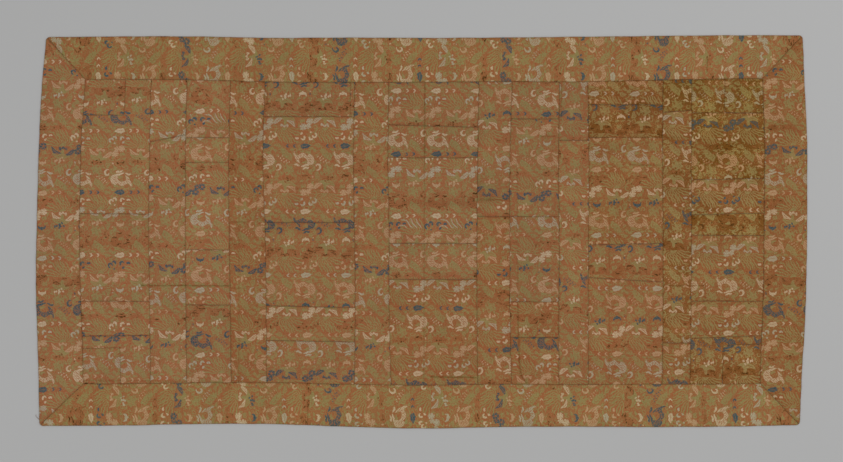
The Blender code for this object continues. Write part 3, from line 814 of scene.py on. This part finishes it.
def weaveSheet(name):
    plan = cutting[name]
    kind = name.split("_")[0]
    short = sheetForm["shortEdge"]
    cad = dropShort(readOutline(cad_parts[name]), short)
    rough = dropShort(offsetLoop(cad, sheetForm["closeGap"]), short)
    loop = stepLoop(rough, sheetForm["edgeStep"])
    lowest = loop.min(axis=0)
    highest = loop.max(axis=0)

    step = sheetForm["gridStep"]
    xs = np.arange(lowest[0] + 0.5 * step, highest[0], step)
    ys = np.arange(lowest[1] + 0.5 * step, highest[1], step)
    spots = [np.array([(x + (0.5 * step if j % 2 else 0), y) for j, y in enumerate(ys) for x in xs])]
    for start, end, half, _, _ in creases:
        along = np.array(end, float) - start
        length = np.linalg.norm(along)
        side = np.array((-along[1], along[0])) / length
        stations = np.linspace(0, 1, max(2, round(length / sheetForm["creaseStep"])))[:, None]
        spots += [start + along * stations + side * across * half for across in sheetForm["creaseRows"]]
    spots = np.concatenate(spots)
    spots = spots[((spots > lowest) & (spots < highest)).all(axis=1)]
    outline = np.array(rough)
    spots = spots[insideLoop(spots, outline)]
    spots = spots[loopDistance(spots, outline) > sheetForm["rimDepths"][-1] + sheetForm["rimClear"]]
    rims = [stepLoop(offsetLoop(rough, -depth), sheetForm["edgeStep"]) for depth in sheetForm["rimDepths"]]
    rims = [rim[insideLoop(rim, outline)] for rim in rims]

    rows, shapes = placedFigures(plan, lowest, highest)
    points = [loop] + shapes
    faces = []
    start = 0
    for group in points:
        faces.append(list(range(start, start + len(group))))
        start += len(group)
    points = np.concatenate(points + rims + [spots])
    made = delaunay_2d_cdt([Vector(p) for p in points], [], faces, 1, sheetForm["weld"], True)
    flat = np.array([tuple(v) for v in made[0]])
    silkNumber = {silk: k for k, silk in enumerate(silkOrder)}
    triangles = []
    threads = []
    gaps = []
    for face, sources in zip(made[2], made[5]):
        if 0 not in sources:
            continue
        top = max(sources)
        silk, gap = rows[top - 1] if top else ("ground", 0.0)
        triangles.append(list(face))
        threads.append(silkNumber[silk])
        gaps.append(gap)
    used = sorted({i for face in triangles for i in face})
    renumber = {old: new for new, old in enumerate(used)}
    flat = flat[used]
    triangles = [[renumber[i] for i in face] for face in triangles]

    rim = loopDistance(flat, outline)
    height = faceHeight(flat, kind, rim)
    cast = faceCast(flat, name, rim)
    edges = dict.fromkeys(side for face in triangles for side in zip(face, face[1:] + face[:1]))
    ring = followRound({a: b for a, b in edges if (b, a) not in edges})
    base = len(flat)
    under = {v: base + k for k, v in enumerate(ring)}
    walls = [[b, a, under[a], under[b]] for a, b in zip(ring, ring[1:] + ring[:1])]
    floorFace = [under[v] for v in ring[::-1]]

    swayed = flat + drift(flat, sheetForm["sway"], *uneven["sway"])
    topVerts = np.column_stack([swayed, height]) * mm
    lowVerts = np.column_stack([swayed[ring], np.zeros(len(ring))]) * mm
    verts = np.concatenate([topVerts, lowVerts])
    cast = np.concatenate([cast, cast[ring] * sheetForm["sideShade"]])
    u, v = clothPlace(np.concatenate([flat, flat[ring]]), plan)

    mesh = bpy.data.meshes.new("silk_" + name)
    mesh.from_pydata(verts.tolist(), [], triangles + walls + [floorFace])
    for silk in silkOrder:
        mesh.materials.append(silks[silk])
    mesh.polygons.foreach_set("material_index", threads + [len(silkOrder) - 1] * (len(walls) + 1))
    corners = np.zeros(len(mesh.loops), np.int32)
    mesh.loops.foreach_get("vertex_index", corners)
    opened = np.zeros(len(corners))
    opened[:3 * len(gaps)] = np.repeat(gaps, 3)
    tint = mesh.color_attributes.new("cast", "FLOAT_COLOR", "CORNER")
    tint.data.foreach_set("color", np.column_stack([cast[corners], opened]).astype(np.float32).ravel())
    kept = tones[plan["tone"]][3] * (0.9 + 0.25 * wander(verts[:, 0] / mm, verts[:, 1] / mm, *uneven["dye"]))
    dyed = mesh.attributes.new("dye", "FLOAT", "POINT")
    dyed.data.foreach_set("value", np.clip(kept, 0, 1).astype(np.float32))
    weave = mesh.uv_layers.new(name="weave")
    shift, slant = sheetForm["shift"]
    shift = shift * list(cutting).index(name)
    uv = np.stack([u * chart["step"] + shift, -v * chart["step"] + slant * shift], axis=1)[corners]
    weave.data.foreach_set("uv", uv.astype(np.float32).ravel())
    mesh.shade_smooth()
    mesh.set_sharp_from_angle(angle=math.radians(sheetForm["sharpAngle"]))
    mesh.update()
    sheet = addObject("silk_" + name, mesh)
    return sheet, (highest - lowest) * mm, loopArea(loop) * mm * mm, rough


# silk materials

groundYarns = {"rust": (0.359, 0.121, 0.049), "olive": (0.283, 0.221, 0.086), "brown": (0.188, 0.079, 0.011)}
brownShades = ((0.130, 0.052, 0.006), (0.182, 0.076, 0.010), (0.255, 0.117, 0.025))
goldFleck = (0.570, 0.420, 0.155)
silkLooks = {
    "ground": {"main": (0.359, 0.116, 0.047), "dark": (0.288, 0.085, 0.032), "light": (0.385, 0.158, 0.068),
               "figure": (0.283, 0.214, 0.083), "figureAmount": 0.60, "float": 0.05, "sheen": 0.02},
    "olive": {"main": (0.282, 0.223, 0.086), "dark": (0.246, 0.172, 0.057), "light": (0.338, 0.278, 0.122),
              "figure": (0.338, 0.132, 0.054), "figureAmount": 0.36, "float": 0.09, "sheen": 0.02},
    "cream": {"main": (0.518, 0.383, 0.240), "dark": (0.408, 0.246, 0.132), "light": (0.628, 0.515, 0.358),
              "figure": (0.368, 0.188, 0.078), "figureAmount": 0.12, "float": 0.14, "sheen": 0.05},
    "white": {"main": (0.405, 0.339, 0.233), "dark": (0.321, 0.231, 0.137), "light": (0.500, 0.438, 0.318),
              "figure": (0.338, 0.188, 0.083), "figureAmount": 0.15, "float": 0.14, "sheen": 0.05},
    "salmon": {"main": (0.462, 0.289, 0.161), "dark": (0.376, 0.198, 0.095), "light": (0.548, 0.378, 0.224),
               "figure": (0.353, 0.158, 0.060), "figureAmount": 0.15, "float": 0.12, "sheen": 0.05},
    "blue": {"main": (0.056, 0.094, 0.110), "dark": (0.030, 0.058, 0.075), "light": (0.133, 0.146, 0.122),
             "figure": (0.243, 0.153, 0.066), "figureAmount": 0.28, "float": 0.12, "sheen": 0.02},
    "perished": {"main": (0.318, 0.123, 0.046), "dark": (0.252, 0.098, 0.034), "light": (0.334, 0.148, 0.055),
                 "figure": (0.068, 0.028, 0.003), "figureAmount": 0.92, "float": 0.03, "sheen": 0.0},
    "underside": {"main": (0.300, 0.125, 0.045), "dark": (0.240, 0.100, 0.034),
                  "light": (0.340, 0.160, 0.060), "figure": (0.270, 0.190, 0.062),
                  "figureAmount": 0.30, "float": 0.02, "sheen": 0.03},
}
weaveLook = {
    "twillPitch": 0.0011,     # metres between twill lines
    "floatPitch": 0.0008,
    "hatchPitch": 0.0034,
    "waveLength": 0.32,       # one band of the wave texture, at a scale of 1
    "floatWave": 0.05,        # the same along a float, which runs far
    "speckleScale": 360.0,
    "scrollScale": 105.0,
    "rotScale": (84.0, 250.0),  # dark rotted spots lie along the weft
    "fleckScale": 430.0,
    "streakScale": (14.0, 620.0),
    "fadeScale": 13.0,
    "yarnStops": (0.32, 0.50, 0.68),
    "scrollStops": ((0.40, 0.0), (0.44, 1.0), (0.48, 1.0), (0.51, 0.0), (0.60, 0.0), (0.65, 0.8)),
    "rotStops": ((0.54, 0.0), (0.60, 1.0)),
    "patchStops": ((0.52, 1.0), (0.66, 0.55)),    # where the ground has kept its brown dye
    "mixedStops": ((0.56, 0.0), (0.61, 0.45)),    # olive yarns among the rust ones
    "fleckStops": ((0.63, 0.0), (0.68, 1.0)),
    "clusterStops": ((0.50, 0.0), (0.60, 0.65)),
    "streakStops": ((0.25, 0.93), (0.75, 1.05)),
    "fadeStops": ((0.28, 0.93), (0.72, 1.06)),
    "hatchShare": 0.35,       # an open figure breaks up by the hatch and by the specks
    "speckShare": (1.9, -0.6),
    "openFrom": 0.90,
    "openSharpness": 4.0,
    "scrollsBelow": 0.4,      # scrolls of olive in the ground that shows through
    "bumpStrength": 0.35,
    "bumpDepth": 0.00018,
    "roughness": 0.62,
    "sheenRoughness": 0.45,
    "gloss": 0.06,
}


def addNode(tree, kind, **values):
    # each value goes to the node's setting of that name, or else to its input
    made = tree.nodes.new(kind)
    for key, value in values.items():
        if hasattr(made, key):
            setattr(made, key, value)
        else:
            made.inputs[key].default_value = value
    return made


def makeSilk(name, look):
    silk = bpy.data.materials.new(name + "Silk")
    silk.use_nodes = True
    tree = silk.node_tree
    shader = tree.nodes["Principled BSDF"]
    link = tree.links.new

    def stretched(across, down):
        mapping = addNode(tree, "ShaderNodeMapping", Scale=(across, down, 1))
        link(cloth.outputs["UV"], mapping.inputs["Vector"])
        return mapping.outputs["Vector"]

    def noise(vector, scale, detail, rough=0.5, distortion=0.0):
        made = addNode(tree, "ShaderNodeTexNoise", Scale=scale, Detail=detail, Roughness=rough,
                       Distortion=distortion)
        link(vector, made.inputs["Vector"])
        return made.outputs["Fac"]

    def waves(direction, distortion, across, down, **more):
        made = addNode(tree, "ShaderNodeTexWave", wave_type="BANDS", bands_direction=direction,
                       Scale=1.0, Distortion=distortion, **more)
        link(stretched(across, down), made.inputs["Vector"])
        return made.outputs["Fac"]

    def ramp(source, stops):
        made = tree.nodes.new("ShaderNodeValToRGB")
        band = made.color_ramp
        while len(band.elements) < len(stops):
            band.elements.new(0.5)
        for element, (place, colour) in zip(band.elements, stops):
            element.position = place
            element.color = (*colour, 1) if isinstance(colour, tuple) else (colour, colour, colour, 1)
        link(source, made.inputs["Fac"])
        return made.outputs["Color"]

    def fill(sockets, values):
        for socket, value in zip(sockets, values):
            if isinstance(value, (int, float)):
                socket.default_value = value
            elif isinstance(value, tuple):
                socket.default_value = (*value, 1)
            else:
                link(value, socket)

    def maths(kind, first, second, clamp=False):
        made = addNode(tree, "ShaderNodeMath", operation=kind, use_clamp=clamp)
        fill(made.inputs, (first, second))
        return made.outputs[0]

    def times(first, second):
        return maths("MULTIPLY", first, second)

    def blend(kind, amount, first, second):
        made = addNode(tree, "ShaderNodeMix", data_type="RGBA", blend_type=kind)
        fill((made.inputs[0], made.inputs[6], made.inputs[7]), (amount, first, second))
        return made.outputs[2]

    cloth = addNode(tree, "ShaderNodeUVMap", uv_map="weave")
    cast = addNode(tree, "ShaderNodeAttribute", attribute_name="cast")
    dye = addNode(tree, "ShaderNodeAttribute", attribute_name="dye").outputs["Fac"]

    # broken colour of the yarns, in specks a few millimetres wide
    speck = noise(stretched(1.0, 0.75), weaveLook["speckleScale"], 2.0, 0.7)
    yarns = ramp(speck, list(zip(weaveLook["yarnStops"], (look["dark"], look["main"], look["light"]))))

    # fine scrolls, where a winding line of the other yarn comes to the face
    if name == "perished":
        scroll = noise(stretched(*weaveLook["rotScale"]), 1.0, 1.5, 0.5, 0.9)
        line = ramp(scroll, weaveLook["rotStops"])
    else:
        scroll = noise(stretched(1.0, 1.0), weaveLook["scrollScale"], 1.5, 0.5, 0.9)
        line = ramp(scroll, weaveLook["scrollStops"])
    amount = times(line, look["figureAmount"])
    if name in ("ground", "perished"):
        browns = ramp(speck, list(zip(weaveLook["yarnStops"], brownShades)))
        patches = ramp(scroll, weaveLook["patchStops"])
        yarns = blend("MIX", times(dye, patches), yarns, browns)
    if name == "ground":
        fresh = maths("SUBTRACT", 1.0, times(dye, 0.8))
        amount = times(times(amount, fresh), maths("SUBTRACT", 1.0, cast.outputs["Alpha"], True))
        mixed = times(ramp(speck, weaveLook["mixedStops"]), fresh)
        yarns = blend("MIX", mixed, yarns, look["figure"])
    colour = blend("MIX", amount, yarns, look["figure"])
    wide = noise(cloth.outputs["UV"], weaveLook["fadeScale"], 3.0, 0.55)
    if name in ("ground", "olive"):
        fleck = noise(cloth.outputs["UV"], weaveLook["fleckScale"], 0.0)
        flecks = times(ramp(fleck, weaveLook["fleckStops"]), dye)
        clustered = times(flecks, ramp(wide, weaveLook["clusterStops"]))
        colour = blend("MIX", clustered, colour, goldFleck)

    # the ground that shows through an open figure, in a slanting hatch
    band = weaveLook["waveLength"]
    if name != "ground":
        slant = band / weaveLook["hatchPitch"]
        hatch = waves("DIAGONAL", 3.0, slant, slant, **{"Detail Scale": 2.0})
        share, lift = weaveLook["speckShare"]
        broken = maths("ADD", times(hatch, weaveLook["hatchShare"]), maths("ADD", times(speck, share), lift))
        shown = maths("SUBTRACT", maths("ADD", broken, cast.outputs["Alpha"]), weaveLook["openFrom"])
        scrolls = times(line, weaveLook["scrollsBelow"])
        under = blend("MIX", scrolls, groundYarns["rust"], groundYarns["olive"])
        under = blend("MIX", dye, under, groundYarns["brown"])
        colour = blend("MIX", maths("MULTIPLY", shown, weaveLook["openSharpness"], True), colour, under)

    # wear in long weft streaks and wide faded clouds
    streak = noise(stretched(*weaveLook["streakScale"]), 1.0, 2.0, 0.6)
    streaks = ramp(streak, weaveLook["streakStops"])
    fades = ramp(wide, weaveLook["fadeStops"])
    for layer in (streaks, fades, cast.outputs["Color"]):
        colour = blend("MULTIPLY", 1.0, colour, layer)
    link(colour, shader.inputs["Base Color"])

    # twill ribs in the ground, and longer floats that lie across it in the figures
    twill = waves("DIAGONAL", 0.6, band / weaveLook["twillPitch"], band / weaveLook["twillPitch"])
    floats = waves("Y", 1.2, weaveLook["floatWave"] / weaveLook["floatPitch"], band / weaveLook["floatPitch"])
    ribs = maths("ADD", twill, times(floats, look["float"] * 10))
    bump = addNode(tree, "ShaderNodeBump", Distance=weaveLook["bumpDepth"])
    bump.inputs["Strength"].default_value = weaveLook["bumpStrength"]
    link(maths("ADD", ribs, speck), bump.inputs["Height"])
    link(bump.outputs["Normal"], shader.inputs["Normal"])

    gloss = addNode(tree, "ShaderNodeMapRange")
    link(speck, gloss.inputs["Value"])
    gloss.inputs["To Min"].default_value = weaveLook["roughness"] + 0.08
    gloss.inputs["To Max"].default_value = weaveLook["roughness"] - 0.06
    link(gloss.outputs["Result"], shader.inputs["Roughness"])
    shader.inputs["Specular IOR Level"].default_value = weaveLook["gloss"]
    shader.inputs["Sheen Weight"].default_value = look["sheen"]
    shader.inputs["Sheen Roughness"].default_value = weaveLook["sheenRoughness"]
    return silk


silks = {name: makeSilk(name, look) for name, look in silkLooks.items()}
print("the silks are dyed")


# lay out every piece


triangleCount = 0
seamRuns = {}
for name in cutting:
    sheet, size, area, rough = weaveSheet(name)
    seamRuns[name] = rough
    triangleCount += sum(len(face.vertices) - 2 for face in sheet.data.polygons)
    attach(sheet, "root")
    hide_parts(name)
print("woven and cut:", len(cutting), "pieces,", triangleCount, "triangles")


# stitches along the strips, the borders and the heads of the patches

stitching = {
    "spacing": 0.0075,
    "length": 0.0021,
    "width": 0.00055,
    "inset": 1.7,             # millimetres in from the seam
    "lift": 0.05,             # millimetres over the face
    "flatness": 1.4,          # how much wider than high
    "shrink": 0.75,           # each stitch has a size between these two
    "grow": 1.2,
    "swing": 0.16,            # and is turned by up to this, in radians
    "pathStep": 4.0,          # millimetres between the points of a sewn line
    "fewest": 8,              # points in the shortest line at the head of a patch
    "plyScale": 900.0,
    "plyDepth": 0.0001,
    "plyStrength": 0.4,
    "plyStops": ((0.3, 0.6), (0.7, 1.3)),
    "roughness": 0.55,
    "colour": (0.225, 0.110, 0.045),
    "seed": 7,
}


def stitchPaths():
    paths = []
    for name, rough in seamRuns.items():
        kind = name.split("_")[0]
        outline = np.array(rough)
        line = stepLoop(offsetLoop(rough, -stitching["inset"]), stitching["pathStep"])
        if kind in ("column", "square"):
            turned = np.roll(line, -1, axis=0) - line
            least = 0.5 * stitching["pathStep"]
            level = (turned[:, 0] < -least) & (np.abs(turned[:, 1]) < least)
            runs = np.split(np.arange(len(line)), np.flatnonzero(np.diff(level.astype(int))) + 1)
            runs = [line[run] for run in runs if level[run[0]] and len(run) > stitching["fewest"]]
        else:
            runs = [line]
        for run in runs:
            height = faceHeight(run, kind, loopDistance(run, outline)) + stitching["lift"]
            swayed = run + drift(run, sheetForm["sway"], *uneven["sway"])
            paths.append(np.column_stack([swayed, height]) * mm)
    return paths


def stitchTree(stitchObject, material):
    tree = bpy.data.node_groups.new("stitchRuns", "GeometryNodeTree")
    for name, kind in (("Geometry", "Geometry"), ("Spacing", "Float"), ("Seed", "Int")):
        tree.interface.new_socket(name, in_out="INPUT", socket_type="NodeSocket" + kind)
    tree.interface.new_socket("Geometry", in_out="OUTPUT", socket_type="NodeSocketGeometry")
    enter = addNode(tree, "NodeGroupInput")
    leave = addNode(tree, "NodeGroupOutput")
    curve = addNode(tree, "GeometryNodeMeshToCurve")
    spaced = addNode(tree, "GeometryNodeResampleCurve", mode="LENGTH")
    points = addNode(tree, "GeometryNodeInstanceOnPoints")
    tangent = addNode(tree, "GeometryNodeInputTangent")
    align = addNode(tree, "FunctionNodeAlignEulerToVector", axis="X")
    stitch = addNode(tree, "GeometryNodeObjectInfo", Object=stitchObject)
    size = addNode(tree, "FunctionNodeRandomValue", data_type="FLOAT")
    size.inputs[2].default_value = stitching["shrink"]
    size.inputs[3].default_value = stitching["grow"]
    turn = addNode(tree, "FunctionNodeRandomValue", data_type="FLOAT_VECTOR")
    turn.inputs[0].default_value = (0, 0, -stitching["swing"])
    turn.inputs[1].default_value = (0, 0, stitching["swing"])
    swing = addNode(tree, "GeometryNodeRotateInstances")
    realize = addNode(tree, "GeometryNodeRealizeInstances")
    paint = addNode(tree, "GeometryNodeSetMaterial", Material=material)
    for source, given, target, taken in (
        (enter, "Geometry", curve, "Mesh"), (curve, "Curve", spaced, "Curve"),
        (enter, "Spacing", spaced, "Length"), (spaced, "Curve", points, "Points"),
        (stitch, "Geometry", points, "Instance"), (tangent, "Tangent", align, "Vector"),
        (align, "Rotation", points, "Rotation"), (enter, "Seed", size, "Seed"),
        (enter, "Seed", turn, "Seed"), (size, 1, points, "Scale"),
        (points, "Instances", swing, "Instances"), (turn, 0, swing, "Rotation"),
        (swing, "Instances", realize, "Geometry"), (realize, "Geometry", paint, "Geometry"),
        (paint, "Geometry", leave, "Geometry"),
    ):
        tree.links.new(source.outputs[given], target.inputs[taken])
    return tree


def makeThread():
    thread = bpy.data.materials.new("sewingSilk")
    thread.use_nodes = True
    tree = thread.node_tree
    shader = tree.nodes["Principled BSDF"]
    shader.inputs["Roughness"].default_value = stitching["roughness"]
    place = addNode(tree, "ShaderNodeTexCoord")
    twist = addNode(tree, "ShaderNodeTexNoise", Scale=stitching["plyScale"])
    shades = addNode(tree, "ShaderNodeValToRGB")
    for element, (spot, share) in zip(shades.color_ramp.elements, stitching["plyStops"]):
        element.position = spot
        element.color = (*(share * c for c in stitching["colour"]), 1)
    ply = addNode(tree, "ShaderNodeBump", Distance=stitching["plyDepth"])
    ply.inputs["Strength"].default_value = stitching["plyStrength"]
    tree.links.new(place.outputs["Object"], twist.inputs["Vector"])
    tree.links.new(twist.outputs["Fac"], shades.inputs["Fac"])
    tree.links.new(shades.outputs["Color"], shader.inputs["Base Color"])
    tree.links.new(twist.outputs["Fac"], ply.inputs["Height"])
    tree.links.new(ply.outputs["Normal"], shader.inputs["Normal"])
    return thread


sewingSilk = makeThread()
stitchMesh = bpy.data.meshes.new("oneStitch")
stitchSections = [(-0.5, 0.35), (-0.26, 1.0), (0.26, 1.0), (0.5, 0.35)]
stitchVerts = []
for along, full in stitchSections:
    for side in range(4):
        angle = math.radians(45 + 90 * side)
        reach = 0.5 * stitching["width"] * full
        across = reach * math.cos(angle) * stitching["flatness"]
        up = reach * math.sin(angle) - (1 - full) * 0.5 * stitching["width"]
        stitchVerts.append((along * stitching["length"], across, up))
stitchFaces = [(3, 2, 1, 0), (12, 13, 14, 15)]
for section in range(3):
    for side in range(4):
        here = section * 4 + side
        beside = section * 4 + (side + 1) % 4
        stitchFaces.append((here, beside, beside + 4, here + 4))
stitchMesh.from_pydata(stitchVerts, [], stitchFaces)
stitchMesh.shade_smooth()
oneStitch = addObject("oneStitch", stitchMesh)

pathVerts = []
pathEdges = []
for path in stitchPaths():
    first = len(pathVerts)
    pathVerts += path.tolist()
    pathEdges += [(first + k, first + k + 1) for k in range(len(path) - 1)]
pathMesh = bpy.data.meshes.new("stitchPaths")
pathMesh.from_pydata(pathVerts, pathEdges, [])
pathObject = addObject("stitchPaths", pathMesh)
sewing = pathObject.modifiers.new("sewing", "NODES")
sewing.node_group = stitchTree(oneStitch, sewingSilk)
for socket in sewing.node_group.interface.items_tree:
    if socket.name in ("Spacing", "Seed"):
        sewing[socket.identifier] = stitching[socket.name.lower()]
bpy.context.view_layer.update()
sewn = pathObject.evaluated_get(bpy.context.evaluated_depsgraph_get())
sewnMesh = bpy.data.meshes.new_from_object(sewn)
stitches = addObject("stitches", sewnMesh)
bpy.data.objects.remove(pathObject)
bpy.data.objects.remove(oneStitch)
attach(stitches, "root")
print("sewn:", len(sewnMesh.polygons), "faces of stitching")


# the loose thread end at the lower left corner

looseThread = {
    "path": ((-1017.5, -503.5, 0.9), (-1021.0, -501.0, 1.1), (-1025.0, -498.2, 0.7), (-1028.6, -494.6, 0.5),
             (-1030.6, -490.8, 0.5), (-1029.6, -487.6, 0.5)),
    "thickness": 0.8,
    "sides": 6,
    "cuts": 4,
    "rounds": 3,              # how often the line is smoothed
    "endTaper": 0.45,
}


def threadTube(path, thickness, sides, cuts, rounds, endTaper):
    line = [Vector(a).lerp(Vector(b), j / cuts) for a, b in zip(path, path[1:]) for j in range(cuts)]
    line.append(Vector(path[-1]))
    for _ in range(rounds):
        line = [line[0]] + [(a + b * 2 + c) / 4 for a, b, c in zip(line, line[1:], line[2:])] + [line[-1]]
    verts = []
    for k, here in enumerate(line):
        ahead = line[min(k + 1, len(line) - 1)] - line[max(k - 1, 0)]
        across = ahead.cross(Vector((0, 0, 1))).normalized()
        up = across.cross(ahead).normalized()
        taper = 0.5 * thickness * (endTaper if k in (0, len(line) - 1) else 1.0)
        for side in range(sides):
            angle = 2 * math.pi * side / sides
            verts.append((here + across * taper * math.cos(angle) + up * taper * math.sin(angle)) * mm)
    faces = [tuple(range(sides)), tuple(range(len(verts) - 1, len(verts) - sides - 1, -1))]
    for k in range(len(line) - 1):
        for side in range(sides):
            here = k * sides + side
            beside = k * sides + (side + 1) % sides
            faces.append((here, here + sides, beside + sides, beside))
    mesh = bpy.data.meshes.new("threadEnd")
    mesh.from_pydata([tuple(v) for v in verts], [], faces)
    mesh.shade_smooth()
    return mesh


threadEnd = addObject("threadEnd", threadTube(**looseThread))
threadEnd.data.materials.append(sewingSilk)
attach(threadEnd, "root")
